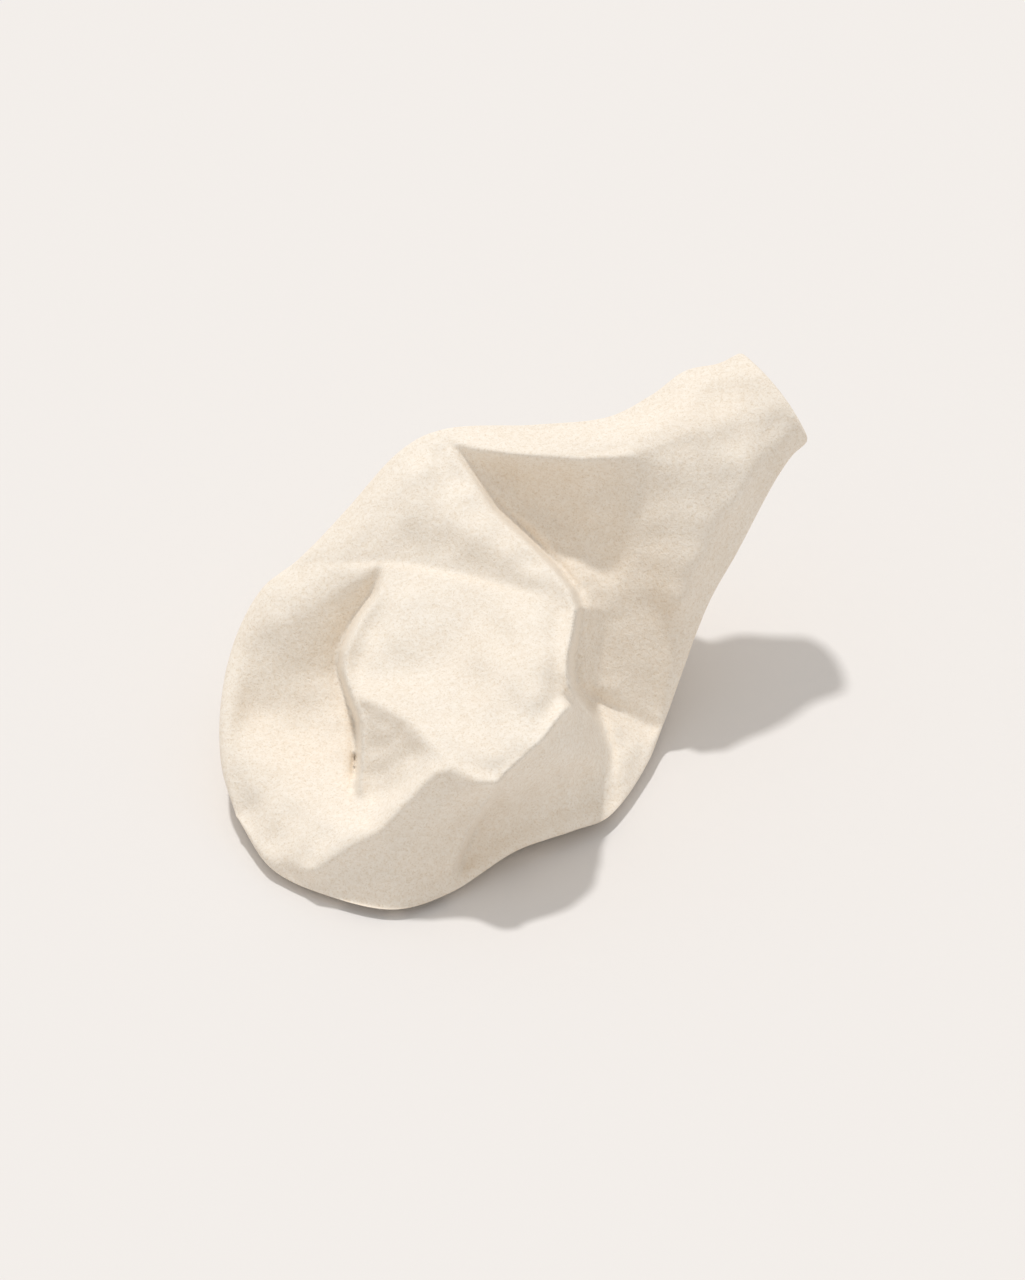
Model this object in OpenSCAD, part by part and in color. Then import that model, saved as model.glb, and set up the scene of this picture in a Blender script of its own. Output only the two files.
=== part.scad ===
// Crumpled stoneware vase, lying back on a small flat foot with its neck raised.
//
// The form is drawn as one would sketch it: on a plane that leans back, with X to the right, Y up the
// plane and a height toward the viewer. Ribs join a left and a right outline. Between them the front is a
// smooth blend of fold lines and spots, each with a height and the slope of the surface there, and the
// back is a plain swell that ends in the flat foot.

/* [Form] */
// Width of the vase from its left side to the rim, in mm
form_width = 212; // [150:1:300]
// Height of the highest fold above the foot, in mm
form_height = 110; // [85:1:150]
// Lean of the sketch plane away from upright, in degrees
sketch_lean = 40; // [34:0.5:46]
// Radius of the turn from front to back along the outline, in mm
edge_radius = 12; // [8:0.5:18]
// Rise of the front beside the outline, in mm
edge_rise = 6; // [4:0.5:9]
// How far a fold line shapes the surface around it, in mm
fold_reach = 32; // [26:0.5:44]
// Radius of the rolled top of a fold that hangs over a pocket, in mm
fold_roll = 4; // [2:0.25:7]
// Run over which the surface drops from such a fold into its pocket, in mm
fold_run = 3; // [1.5:0.25:5]
// How far the rim bows outward between its two corners, in mm
rim_bow = 2.2; // [0:0.1:4]
// Radius of the turn from the foot into the sides, in mm
foot_radius = 3; // [1.5:0.25:6]

/* [Wall] */
// Thickness of the clay wall, in mm
wall = 4.5; // [3.5:0.1:6]
// Thickness of the glaze that lines the inside, in mm
glaze_thickness = 0.4; // [0.2:0.05:0.8]
// Least room that is kept between the front and the back inside the vase, in mm
least_room = 2; // [1:0.25:4]

/* [Feet] */
// Diameter of one felt pad, in mm
pad_diameter = 16; // [8:0.5:24]
// Thickness of one felt pad, in mm
pad_thickness = 1.2; // [0.8:0.1:3]

/* [Node] */
// Sub-part to draw, or all of them

/* [Hidden] */

// The photograph as a drawing sheet: its left and right edges of the form, and the sketch origin
form_left_pixels = 220;
form_right_pixels = 809;
origin_pixels = [500, 700];
mm_per_pixel = form_width / (form_right_pixels - form_left_pixels);

// Ribs: how many rings and columns the skins are drawn with
rings_per_rib = 4;
front_columns = 34;
back_columns = 22;
columns = front_columns + back_columns;
inner_rings = 20;
inner_first_rib = 0.6;

// Stations along the vase, from the closed end to the mouth: left outline x and y in pixels, left
// height as a share of the form height, the same for the right outline, the depth of the back, and how
// far the rib bows toward the mouth as a share of the rim's bow
rib_pixels_and_shares = [
    [236, 816, 0.045, 236, 816, 0.045, 0.00, 0],
    [221, 765, 0.155, 272, 868, 0.025, 0.20, 0],
    [220, 705, 0.265, 330, 895, 0.025, 0.33, 0],
    [232, 645, 0.375, 395, 908, 0.025, 0.43, 0],
    [260, 590, 0.510, 452, 891, 0.030, 0.52, 0],
    [300, 557, 0.600, 515, 851, 0.080, 0.60, 0],
    [345, 510, 0.700, 572, 831, 0.060, 0.65, 0],
    [395, 454, 0.835, 611, 815, 0.035, 0.68, 0],
    [445, 428, 0.910, 646, 768, 0.025, 0.66, 0],
    [530, 424, 0.945, 667, 718, 0.095, 0.59, 0],
    [605, 417, 0.955, 706, 612, 0.390, 0.44, 0],
    [650, 395, 0.955, 740, 548, 0.545, 0.27, 0],
    [684, 370, 0.965, 770, 492, 0.690, 0.22, 0.1],
    [719, 362, 0.980, 791, 458, 0.770, 0.18, 0.5],
    [737, 353, 1.000, 806, 443, 0.800, 0.155, 1]];
last_rib = len(rib_pixels_and_shares) - 1;

// Fold lines: x and y in pixels, then the height left and right of the way the line runs, as shares of
// the form height. The two differ where a fold hangs over a pocket. Spots have a single height.
middle_crest_shares = [[442, 437, 0.92, 0.92], [456, 450, 0.88, 0.90], [474, 477, 0.81, 0.865],
    [496, 509, 0.72, 0.82], [528, 540, 0.63, 0.765], [555, 567, 0.58, 0.715], [573, 590, 0.54, 0.685],
    [580, 609, 0.50, 0.665], [577, 631, 0.455, 0.645], [572, 654, 0.40, 0.625], [571, 672, 0.345, 0.61],
    [574, 688, 0.29, 0.595]];
lobe_right_shares = [[567, 711, 0.51, 0.57], [545, 741, 0.48, 0.54], [508, 775, 0.40, 0.475]];
front_corner_shares = [[508, 775, 0.40, 0.475], [491, 801, 0.30, 0.385], [473, 827, 0.20, 0.28],
    [459, 861, 0.10, 0.15], [454, 884, 0.04, 0.05]];
apron_ridge_shares = [[574, 688, 0.29, 0.58], [584, 702, 0.22, 0.48], [599, 721, 0.155, 0.35],
    [609, 749, 0.13, 0.21], [611, 776, 0.09, 0.12], [618, 800, 0.05, 0.05]];
apron_crease_shares = [[592, 698, 0.185, 0.185], [615, 709, 0.145, 0.145], [632, 717, 0.115, 0.115],
    [655, 728, 0.07, 0.07]];
shoulder_crest_shares = [[446, 440, 0.92, 0.92], [456, 443, 0.93, 0.93], [485, 449, 0.945, 0.945],
    [515, 453, 0.95, 0.95], [582, 458, 0.95, 0.95], [620, 456, 0.955, 0.955]];
shoulder_end_shares = [[620, 456, 0.955, 0.955], [650, 449, 0.96, 0.96], [685, 434, 0.965, 0.965]];
dent_brow_shares = [[285, 570, 0.585, 0.585], [301, 563, 0.61, 0.61], [335, 565, 0.63, 0.635],
    [378, 564, 0.65, 0.665]];
lobe_top_shares = [[382, 562, 0.66, 0.67], [416, 566, 0.67, 0.68], [470, 578, 0.67, 0.68],
    [515, 589, 0.665, 0.67], [540, 596, 0.665, 0.665]];
lobe_left_shares = [[381, 568, 0.66, 0.645], [380, 580, 0.65, 0.61], [375, 594, 0.635, 0.565],
    [366, 607, 0.615, 0.525], [356, 621, 0.595, 0.475], [348, 637, 0.575, 0.43]];
lobe_heel_shares = [[348, 637, 0.575, 0.43], [342, 652, 0.555, 0.39], [341, 670, 0.53, 0.34],
    [345, 686, 0.51, 0.305], [352, 703, 0.48, 0.275], [358, 721, 0.45, 0.245]];
cleft_shares = [[358, 721, 0.45, 0.245], [359, 748, 0.375, 0.225], [357, 772, 0.32, 0.215],
    [357, 786, 0.28, 0.23]];
lobe_lower_shares = [[368, 700, 0.505, 0.505], [380, 704, 0.51, 0.51], [411, 721, 0.515, 0.515],
    [434, 744, 0.50, 0.50], [452, 766, 0.475, 0.475], [479, 779, 0.455, 0.455], [498, 782, 0.455, 0.455]];
cheek_ridge_shares = [[452, 768, 0.475, 0.475], [436, 772, 0.46, 0.46], [422, 785, 0.43, 0.43],
    [411, 798, 0.395, 0.395], [380, 830, 0.285, 0.285], [348, 847, 0.21, 0.21], [317, 868, 0.12, 0.12]];
cleft_band_shares = [[372, 790, 0.285, 0.285], [393, 784, 0.345, 0.345], [425, 769, 0.43, 0.43]];
cleft_wall_shares = [[378, 722, 0.445], [373, 745, 0.365], [371, 770, 0.30]];
cleft_slope_shares = [[390, 732, 0.445], [392, 758, 0.36]];
cleft_foot_shares = [[370, 812, 0.265]];
cheek_shares = [[252, 735, 0.23], [300, 745, 0.215], [300, 790, 0.195],
    [336, 765, 0.22], [336, 805, 0.205]];
cheek_low_shares = [[262, 785, 0.19], [285, 815, 0.165], [320, 838, 0.175]];
cheek_foot_shares = [[268, 838, 0.09], [300, 860, 0.115]];
dent_shares = [[300, 618, 0.51], [300, 650, 0.415], [325, 625, 0.485],
    [325, 665, 0.365]];
dent_top_shares = [[275, 605, 0.52], [300, 590, 0.575], [325, 582, 0.60]];
dent_wall_shares = [[350, 605, 0.53]];
dent_left_shares = [[255, 650, 0.40], [268, 690, 0.30]];
dent_foot_shares = [[305, 695, 0.295], [335, 700, 0.28]];
dent_heel_shares = [[300, 722, 0.235], [338, 730, 0.24]];
valley_shares = [[420, 512, 0.805], [440, 545, 0.725], [468, 562, 0.705]];
valley_top_shares = [[420, 470, 0.885]];
valley_left_shares = [[380, 500, 0.785], [360, 540, 0.69], [395, 545, 0.705]];
lobe_dish_shares = [[416, 605, 0.645], [410, 640, 0.59], [385, 665, 0.53],
    [450, 630, 0.61]];
lobe_ridge_shares = [[530, 625, 0.65], [492, 640, 0.615], [470, 694, 0.54],
    [540, 660, 0.63]];
lobe_front_shares = [[535, 695, 0.60], [500, 705, 0.56]];
lobe_rim_shares = [[528, 740, 0.54], [495, 750, 0.51], [450, 730, 0.52]];
hollow_shares = [[580, 724, 0.455], [584, 744, 0.385], [560, 744, 0.455],
    [541, 760, 0.43]];
hollow_wall_shares = [[587, 770, 0.24], [560, 783, 0.25], [530, 795, 0.25],
    [505, 812, 0.22], [484, 840, 0.14]];
hollow_foot_shares = [[593, 800, 0.10], [560, 812, 0.135], [530, 825, 0.135],
    [505, 838, 0.13]];
pocket_top_shares = [[480, 465, 0.865], [500, 470, 0.86], [560, 476, 0.85],
    [600, 476, 0.86]];
pocket_shares = [[520, 500, 0.75], [560, 510, 0.72], [600, 520, 0.72]];
pocket_floor_shares = [[560, 550, 0.60], [600, 560, 0.605]];
pocket_foot_shares = [[600, 600, 0.49], [600, 640, 0.375], [600, 675, 0.27]];
pocket_wall_shares = [[640, 500, 0.80], [645, 540, 0.675]];
pocket_slope_shares = [[640, 570, 0.58], [640, 610, 0.46], [640, 690, 0.205]];
pocket_right_shares = [[690, 480, 0.845], [690, 520, 0.74], [690, 560, 0.62]];
pocket_middle_shares = [[665, 475, 0.88], [665, 520, 0.745], [665, 560, 0.62]];
neck_root_shares = [[715, 470, 0.858], [722, 500, 0.776], [738, 480, 0.808]];
apron_shares = [[625, 745, 0.115], [622, 775, 0.085]];
neck_front_shares = [[740, 440, 0.89]];
neck_back_shares = [[720, 400, 0.95]];
neck_middle_shares = [[768, 398, 0.965]];
neck_rim_shares = [[782, 432, 0.88]];

// One row per fold: its softness as a share of the reach, the slope of the surface toward the viewer
// to the left and right of it in degrees, and its line
fold_shares = [
    [0.03, 74, 12, middle_crest_shares],
    [0.03, 66, 14, lobe_right_shares],
    [0.03, 80, 74, front_corner_shares],
    [0.03, 15, 75, apron_ridge_shares],
    [0.05, 60, 10, apron_crease_shares],
    [0.05, 0, 92, shoulder_crest_shares],
    [0.22, 25, 62, shoulder_end_shares],
    [0.05, 35, 30, dent_brow_shares],
    [0.03, 43, 10, lobe_top_shares],
    [0.03, 20, 68, lobe_left_shares],
    [0.03, 20, 55, lobe_heel_shares],
    [0.03, 70, 20, cleft_shares],
    [0.05, 5, 70, lobe_lower_shares],
    [0.05, 77, 35, cheek_ridge_shares],
    [0.12, 50, 45, cleft_band_shares]];

// One row per group of spots between the folds: its softness as a share of the reach, the slope of the
// surface toward the viewer in degrees, and the spots
spot_groups_shares = [
    [0.12, 73, cleft_wall_shares],
    [0.12, 72, cleft_slope_shares],
    [0.12, 25, cleft_foot_shares],
    [0.19, 7, cheek_shares],
    [0.19, 22, cheek_low_shares],
    [0.16, 48, cheek_foot_shares],
    [0.16, 62, dent_shares],
    [0.16, 32, dent_top_shares],
    [0.12, 69, dent_wall_shares],
    [0.16, 50, dent_left_shares],
    [0.16, 50, dent_foot_shares],
    [0.16, 30, dent_heel_shares],
    [0.19, 50, valley_shares],
    [0.16, 21, valley_top_shares],
    [0.19, 38, valley_left_shares],
    [0.16, 28, lobe_dish_shares],
    [0.16, 10, lobe_ridge_shares],
    [0.16, 22, lobe_front_shares],
    [0.16, 3, lobe_rim_shares],
    [0.12, 68, hollow_shares],
    [0.12, 106, hollow_wall_shares],
    [0.12, 78, hollow_foot_shares],
    [0.12, 98, pocket_top_shares],
    [0.16, 90, pocket_shares],
    [0.16, 83, pocket_floor_shares],
    [0.16, 60, pocket_foot_shares],
    [0.19, 74, pocket_wall_shares],
    [0.19, 64, pocket_slope_shares],
    [0.22, 66, pocket_middle_shares],
    [0.22, 57, pocket_right_shares],
    [0.22, 54, neck_root_shares],
    [0.16, 13, apron_shares],
    [0.19, 36, neck_front_shares],
    [0.19, 12, neck_back_shares],
    [0.19, 25, neck_middle_shares],
    [0.16, 50, neck_rim_shares]];

// The outlines count as fold lines too. Stretches of them: side (0 left, 1 right), first and last rib, how
// far the front rises beside them as a share of the edge rise, and the slope of the surface there
outline_softness_share = 0.09;
outline_stretches_shares = [[0, 0, 8, 1, 36], [0, 8, 14, 0.3, 0], [1, 0, 2, 0.5, 55], [1, 2, 4, 0, 78],
    [1, 4, 7, 0, 95], [1, 7, 9, 0.2, 35], [1, 9, 14, 1, 62]];

// Places of the felt pads across and along the foot, as shares of the form width
pad_left_shares = [-0.285, -0.155];
pad_front_shares = [-0.17, -0.455];
pad_right_shares = [0.185, -0.16];
pad_back_shares = [0.11, 0.08];

// Small numbers that only keep sums defined
tiny_weight = 0.000001;
back_roundness = 0.8;
left_inset_share = 0.6;
right_inset_share = 2;
most_inset_share = 0.3;

// Sketch places

lean_sin = sin(sketch_lean);
lean_cos = cos(sketch_lean);

function sketch_x(x_pixels) = (x_pixels - origin_pixels.x) * mm_per_pixel;
function sketch_y(y_pixels) = (origin_pixels.y - y_pixels) * mm_per_pixel;

// Height toward the viewer of a place on the sketch plane that lies at a given height over the foot
function toward_viewer(y, level) = (level - y * lean_cos) / lean_sin;

function sketch_row(row) = let (y = sketch_y(row[1]))
    [sketch_x(row[0]), y, toward_viewer(y, row[2] * form_height), toward_viewer(y, row[3] * form_height)];

// A sketch place in the room: X right, Y away from the viewer, Z up
function in_room(x, y, h) = [x, y * lean_sin - h * lean_cos, y * lean_cos + h * lean_sin];

// Outlines and ribs

function rib_row(row) = let (left_y = sketch_y(row[1]), right_y = sketch_y(row[4]))
    [sketch_x(row[0]), left_y, toward_viewer(left_y, row[2] * form_height),
     sketch_x(row[3]), right_y, toward_viewer(right_y, row[5] * form_height), row[6] * form_height,
     row[7] * rim_bow];

ribs = [for (row = rib_pixels_and_shares) rib_row(row)];

// Catmull-Rom curve through four neighbours, between the second and the third
function curve(a, b, c, d, t) =
    (2 * b + (c - a) * t + (2 * a - 5 * b + 4 * c - d) * t * t + (3 * b - a - 3 * c + d) * t * t * t) / 2;

function rib_at(station) =
    let (i = min(floor(station), last_rib - 1), b = ribs[i], c = ribs[i + 1])
    let (a = i == 0 ? 2 * b - c : ribs[i - 1], d = i + 1 == last_rib ? 2 * c - b : ribs[i + 2])
    curve(a, b, c, d, station - i);

// Fold lines

// Slope of the sketch height for a surface that falls toward the viewer by an angle
function height_slope(angle) = -tan(90 - sketch_lean - angle);

function line_centre(line) = [for (k = [0, 1]) (line[0][k] + line[len(line) - 1][k]) / 2];
function line_radius(line, centre) = max([for (q = line) norm([q.x - centre.x, q.y - centre.y])]);

function fold_row(softness, slope_left, slope_right, line) =
    let (centre = line_centre(line))
    [softness, height_slope(slope_left), height_slope(slope_right), line, centre,
     line_radius(line, centre) + fold_reach];

// Stretch of an outline as a fold line
function outline_line(side, first, last, rise) = [for (k = [first:last])
    let (x = ribs[k][3 * side], y = ribs[k][3 * side + 1], h = ribs[k][3 * side + 2] + edge_rise * rise)
    [x, y, h, h]];

folds = concat(
    [for (f = fold_shares) fold_row(f[0] * fold_reach, f[1], f[2], [for (q = f[3]) sketch_row(q)])],
    [for (g = spot_groups_shares, q = g[2])
        fold_row(g[0] * fold_reach, g[1], g[1], [sketch_row([q.x, q.y, q.z, q.z])])],
    [for (s = outline_stretches_shares)
        fold_row(outline_softness_share * fold_reach, s[4], s[4], outline_line(s[0], s[1], s[2], s[3]))]);

// Nearest place on one stretch of a line: squared distance, stretch, share along it, and the offset
function near_stretch(p, line, i) =
    let (a = line[i], b = line[min(i + 1, len(line) - 1)])
    let (run = [b.x - a.x, b.y - a.y], from = [p.x - a.x, p.y - a.y], run_squared = run * run)
    let (t = run_squared > 0 ? max(0, min(1, from * run / run_squared)) : 0)
    let (off = from - t * run)
    [off * off, i, t, off, run_squared > 0 ? (run.x * off.y - run.y * off.x) / sqrt(run_squared) : 0];

function nearest(p, line, i, best) =
    i >= len(line) - 1 ? best :
    let (next = near_stretch(p, line, i))
    nearest(p, line, i + 1, next[0] < best[0] ? next : best);

// Rounded top of a fold that hangs over: how far it drops at a distance from its line
function roll_drop(distance, step) =
    min(fold_roll, max(step, 0) / 2) * (1 - sqrt(1 - pow(1 - min(distance / fold_roll, 1), 2)));

// Weight of one fold at a place, and its weighted height there
function fold_pull(p, fold) =
    let (line = fold[3], near = nearest(p, line, 1, near_stretch(p, line, 0)), distance = sqrt(near[0]))
    let (a = line[near[1]], b = line[min(near[1] + 1, len(line) - 1)], t = near[2], off = near[3])
    let (side = max(-1, min(1, near[4] / max(fold_run, distance))))
    let (left = a[2] + (b[2] - a[2]) * t, right = a[3] + (b[3] - a[3]) * t)
    let (left_here = left + fold[1] * off.y)
    let (right_here = right - roll_drop(distance, right - left) + fold[2] * off.y)
    let (height = left_here * (1 + side) / 2 + right_here * (1 - side) / 2)
    let (weight = pow(max(1 - distance / fold_reach, 0), 2) / (near[0] + fold[0] * fold[0]))
    [weight, weight * height];

function front_height(p, between) =
    let (pulls = [for (f = folds) if (norm(p - f[4]) < f[5]) fold_pull(p, f)])
    let (total = [for (q = pulls) 1] * pulls)
    len(pulls) == 0 ? between : (total[1] + tiny_weight * between) / (total[0] + tiny_weight);

// Skins

// Columns run from the left outline over the front to the right outline and back behind
function column_angle(column) = column <= front_columns ? 180 * column / front_columns
    : 180 + 180 * (column - front_columns) / back_columns;

function edge_turn(distance, radius) = sqrt(max(1 - pow(1 - min(distance / radius, 1), 2), 0));

// Front and back heights at a share of a rib
function rib_heights(rib, share) =
    let (width = norm([rib[3] - rib[0], rib[4] - rib[1]]), between = rib[2] + (rib[5] - rib[2]) * share)
    let (bow = rib[7] * 4 * share * (1 - share) / width)
    let (p = [rib[0] + (rib[3] - rib[0]) * share - (rib[4] - rib[1]) * bow,
        rib[1] + (rib[4] - rib[1]) * share + (rib[3] - rib[0]) * bow])
    let (turn = edge_turn(min(share, 1 - share) * width, min(edge_radius, width / 2)))
    let (swell = pow(2 * sqrt(max(share * (1 - share), 0)), back_roundness))
    [p.x, p.y, between + (front_height(p, between) - between) * turn, between - rib[6] * swell];

// Flat foot with a rounded turn: levels below the floor go to it
function floor_level(level) = level > foot_radius ? level :
    level < -foot_radius ? 0 : pow(level + foot_radius, 2) / (4 * foot_radius);

function settled(point) = [point.x, point.y, floor_level(point.z)];

function outer_ring(station) =
    let (rib = rib_at(station))
    [for (column = [0:columns - 1])
        let (angle = column_angle(column), share = (1 - cos(angle)) / 2, at = rib_heights(rib, share))
        settled(in_room(at[0], at[1], angle <= 180 ? at[2] : at[3]))];

outer_rings = [for (ring = [1:last_rib * rings_per_rib]) outer_ring(ring / rings_per_rib)];
outer_tip = let (r = ribs[0]) settled(in_room(r[0], r[1], r[2]));

// Inner skins keep the wall inside the lowest front and the highest back of their neighbourhood
inner_stations = [for (k = [0:inner_rings - 1])
    inner_first_rib + (last_rib - inner_first_rib) * k / (inner_rings - 1)];

// Insets of the inner outlines as shares of a rib: the right side, low under the folds, keeps more clay
function inset_shares(rib, station) =
    let (width = norm([rib[3] - rib[0], rib[4] - rib[1]]), fade = 1 - pow(station / last_rib, 4))
    [min(wall * (1 + left_inset_share * fade) / width, most_inset_share),
     min(wall * (1 + right_inset_share * fade) / width, most_inset_share)];

function inner_share(insets, spread) = insets[0] + (1 - insets[0] - insets[1]) * spread;

function inner_probe(station) =
    let (rib = rib_at(station), insets = inset_shares(rib, station))
    [for (column = [0:columns - 1])
        rib_heights(rib, inner_share(insets, (1 - cos(column_angle(column))) / 2))];

probes = [for (station = inner_stations) inner_probe(station)];

function lowest_front(k, j) = min([for (dk = [-1:1], dj = [-1:1])
    probes[max(0, min(inner_rings - 1, k + dk))][(j + dj + columns) % columns][2]]);
function highest_back(k, j) = max([for (dk = [-1:1], dj = [-1:1])
    probes[max(0, min(inner_rings - 1, k + dk))][(j + dj + columns) % columns][3]]);

// A point of an inner skin: the clay's own, or one that stands off it by the thickness of the glaze
function inner_point(k, j, glaze) =
    let (station = inner_stations[k], rib = rib_at(station), insets = inset_shares(rib, station))
    let (width = norm([rib[3] - rib[0], rib[4] - rib[1]]), angle = column_angle(j), probe = probes[k][j])
    let (spread = (1 - cos(angle)) / 2, clear_width = width * (1 - insets[0] - insets[1]))
    let (turn = edge_turn(min(spread, 1 - spread) * clear_width, min(edge_radius, clear_width / 2)))
    let (front = lowest_front(k, j) - wall)
    let (back = max(highest_back(k, j) + wall, toward_viewer(probe[1], wall)))
    let (middle = (front + back) / 2, half = (max((front - back) / 2, least_room) - glaze) * turn)
    let (shift = glaze * (1 - turn) * (spread < 1 / 2 ? 1 : -1) / width)
    in_room(probe[0] + (rib[3] - rib[0]) * shift, probe[1] + (rib[4] - rib[1]) * shift,
        middle + (angle <= 180 ? half : -half));

function inner_ring(k, glaze) = [for (j = [0:columns - 1]) inner_point(k, j, glaze)];

// The glaze's own closed end stands off the clay's closed end by the glaze's thickness
function glaze_ring(k) =
    let (ring = inner_ring(k, glaze_thickness))
    k > 0 ? ring :
    let (next = inner_ring(1, glaze_thickness))
    [for (j = [0:columns - 1]) ring[j] + (next[j] - ring[j]) * glaze_thickness / norm(next[j] - ring[j])];

function ring_middle(ring) = [for (q = ring) 1] * ring / len(ring);

// Rounded lip between the outer and the inner skin at the mouth
mouth_run = let (r = ribs[last_rib]) [r[3] - r[0], r[4] - r[1]];
mouth_out = in_room(-mouth_run.y, mouth_run.x, 0) / norm(mouth_run);

function lip_ring(outer, inner, angle) = [for (j = [0:columns - 1])
    outer[j] + (inner[j] - outer[j]) * (1 - cos(angle)) / 2 + mouth_out * sin(angle) * wall / 2];

// Solids

// Faces of a closed skin of rings, from a tip before the first ring to a tip after the last one. From the
// ring where the skin turns back, the quads are split the other way, so that both sides of a wall match
function skin_faces(rings, turn_ring) =
    let (last_point = rings * columns + 1)
    concat(
        [for (j = [0:columns - 1]) [0, 1 + j, 1 + (j + 1) % columns]],
        [for (i = [0:rings - 2], j = [0:columns - 1])
            let (a = 1 + i * columns + j, b = 1 + i * columns + (j + 1) % columns)
            each i < turn_ring ? [[a, b + columns, b], [a, a + columns, b + columns]]
                : [[a, a + columns, b], [b, a + columns, b + columns]]],
        [for (j = [0:columns - 1]) let (base = 1 + (rings - 1) * columns)
            [base + j, last_point, base + (j + 1) % columns]]);

function flat_list(rings) = [for (ring = rings) each ring];

module skin(first_tip, rings, last_tip, turn_ring) {
    polyhedron(
        points = concat([first_tip], flat_list(rings), [last_tip]),
        faces = skin_faces(len(rings), turn_ring));
}

rim = outer_rings[len(outer_rings) - 1];
clay_inside = [for (k = [inner_rings - 1:-1:0]) inner_ring(k, 0)];
lip = [for (angle = [45, 90, 135]) lip_ring(rim, clay_inside[0], angle)];

// The row's origin is the middle of the outline box, on the floor under the pads
function span_middle(values) = (min(values) + max(values)) / 2;
centre_x = span_middle([for (ring = concat(outer_rings, lip), q = ring) q.x]);
centre_y = span_middle([for (ring = concat(outer_rings, lip), q = ring) q.y]);

module in_row_frame() {
    translate([-centre_x, -centre_y, pad_thickness])
        children();
}

module vessel_body() {
    color([0.86, 0.80, 0.73])
        in_row_frame()
            skin(outer_tip, concat(outer_rings, lip, clay_inside), ring_middle(clay_inside[inner_rings - 1]),
                len(outer_rings));
}

module liner_glaze() {
    outer = [for (k = [0:inner_rings - 1]) inner_ring(k, 0)];
    inner = [for (k = [inner_rings - 1:-1:0]) glaze_ring(k)];
    color([0.93, 0.90, 0.84])
        in_row_frame()
            skin(ring_middle(outer[0]), concat(outer, inner), ring_middle(inner[inner_rings - 1]),
                inner_rings - 1);
}

module felt_pad(place_shares) {
    color([0.55, 0.52, 0.48])
        translate([place_shares.x * form_width - centre_x, place_shares.y * form_width - centre_y, 0])
            cylinder(h = pad_thickness, d = pad_diameter);
}

module felt_pad_left() felt_pad(pad_left_shares);
module felt_pad_front() felt_pad(pad_front_shares);
module felt_pad_right() felt_pad(pad_right_shares);
module felt_pad_back() felt_pad(pad_back_shares);

vessel_body();
liner_glaze();
felt_pad_left();
felt_pad_front();
felt_pad_right();
felt_pad_back();
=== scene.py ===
import math

import bpy
import numpy as np
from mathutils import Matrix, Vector


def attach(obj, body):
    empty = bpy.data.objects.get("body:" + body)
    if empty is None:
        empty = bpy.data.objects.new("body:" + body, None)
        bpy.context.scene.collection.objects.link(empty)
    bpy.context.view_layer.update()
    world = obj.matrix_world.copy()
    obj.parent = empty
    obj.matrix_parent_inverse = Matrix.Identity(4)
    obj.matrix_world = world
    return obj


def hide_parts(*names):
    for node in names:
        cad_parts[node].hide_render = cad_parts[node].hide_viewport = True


# Crumpled stoneware vase, lying back on a flat foot with its neck raised, on a pale floor. The clay is
# drawn as in the part's source, on a finer grid: a sketch plane that leans back, ribs between two
# outlines, fold lines and spots that each carry a height and a slope, and a plain swell behind. The
# outlines, the swell, the wall, the glaze and the pads are the source's. The heights of the folds and of
# five ribs, the width of the rolls and the slit in the cleft are this script's own: they were set by
# comparing renders with the photograph after the solids were made.

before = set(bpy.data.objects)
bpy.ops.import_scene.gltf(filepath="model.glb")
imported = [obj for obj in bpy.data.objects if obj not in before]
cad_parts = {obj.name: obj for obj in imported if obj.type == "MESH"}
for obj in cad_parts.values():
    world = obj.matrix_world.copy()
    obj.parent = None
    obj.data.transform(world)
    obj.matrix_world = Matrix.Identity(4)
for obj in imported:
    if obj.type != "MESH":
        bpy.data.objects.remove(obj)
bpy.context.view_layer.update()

# Sizes in millimetres and angles in degrees. All but the roll's are those of the part's source.
form_width = 212
form_height = 110
sketch_lean = 40
edge_radius = 12
edge_rise = 6
fold_reach = 32
fold_roll = 3
rim_bow = 2.2
foot_radius = 3
wall = 4.5
glaze_thickness = 0.4
least_room = 2
pad_diameter = 16
pad_thickness = 1.2

# The photograph as a drawing sheet, and the middle and height of the view on it, in its pixels
form_left_pixels = 220
form_right_pixels = 809
origin_pixels = [500, 700]
view_middle_pixels = [512.5, 640]
view_height_pixels = 1280
mm_per_pixel = form_width / (form_right_pixels - form_left_pixels)
mm_per_metre = 1000

# One row per rib, from the closed end to the mouth: x and y in pixels and height on the left outline,
# the same on the right one, depth of the back, and bow as a share of the rim's bow. Heights and depths
# are shares of the form height.
rib_pixels_and_shares = [
    [236, 816, 0.045, 236, 816, 0.045, 0.00, 0],
    [221, 765, 0.155, 272, 868, 0.025, 0.20, 0],
    [220, 705, 0.265, 330, 895, 0.025, 0.33, 0],
    [232, 645, 0.375, 395, 908, 0.025, 0.43, 0],
    [260, 590, 0.510, 452, 891, 0.030, 0.52, 0],
    [300, 557, 0.600, 515, 851, 0.080, 0.60, 0],
    [345, 510, 0.700, 572, 831, 0.060, 0.65, 0],
    [395, 454, 0.830, 611, 815, 0.040, 0.68, 0],
    [445, 428, 0.895, 646, 768, 0.042, 0.66, 0],
    [530, 424, 0.905, 667, 718, 0.095, 0.59, 0],
    [605, 417, 0.915, 706, 612, 0.390, 0.44, 0],
    [650, 395, 0.935, 740, 548, 0.545, 0.27, 0],
    [684, 370, 0.965, 770, 492, 0.690, 0.22, 0.1],
    [719, 362, 0.980, 791, 458, 0.770, 0.18, 0.5],
    [737, 353, 1.000, 806, 443, 0.800, 0.155, 1]]
last_rib = len(rib_pixels_and_shares) - 1

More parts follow.
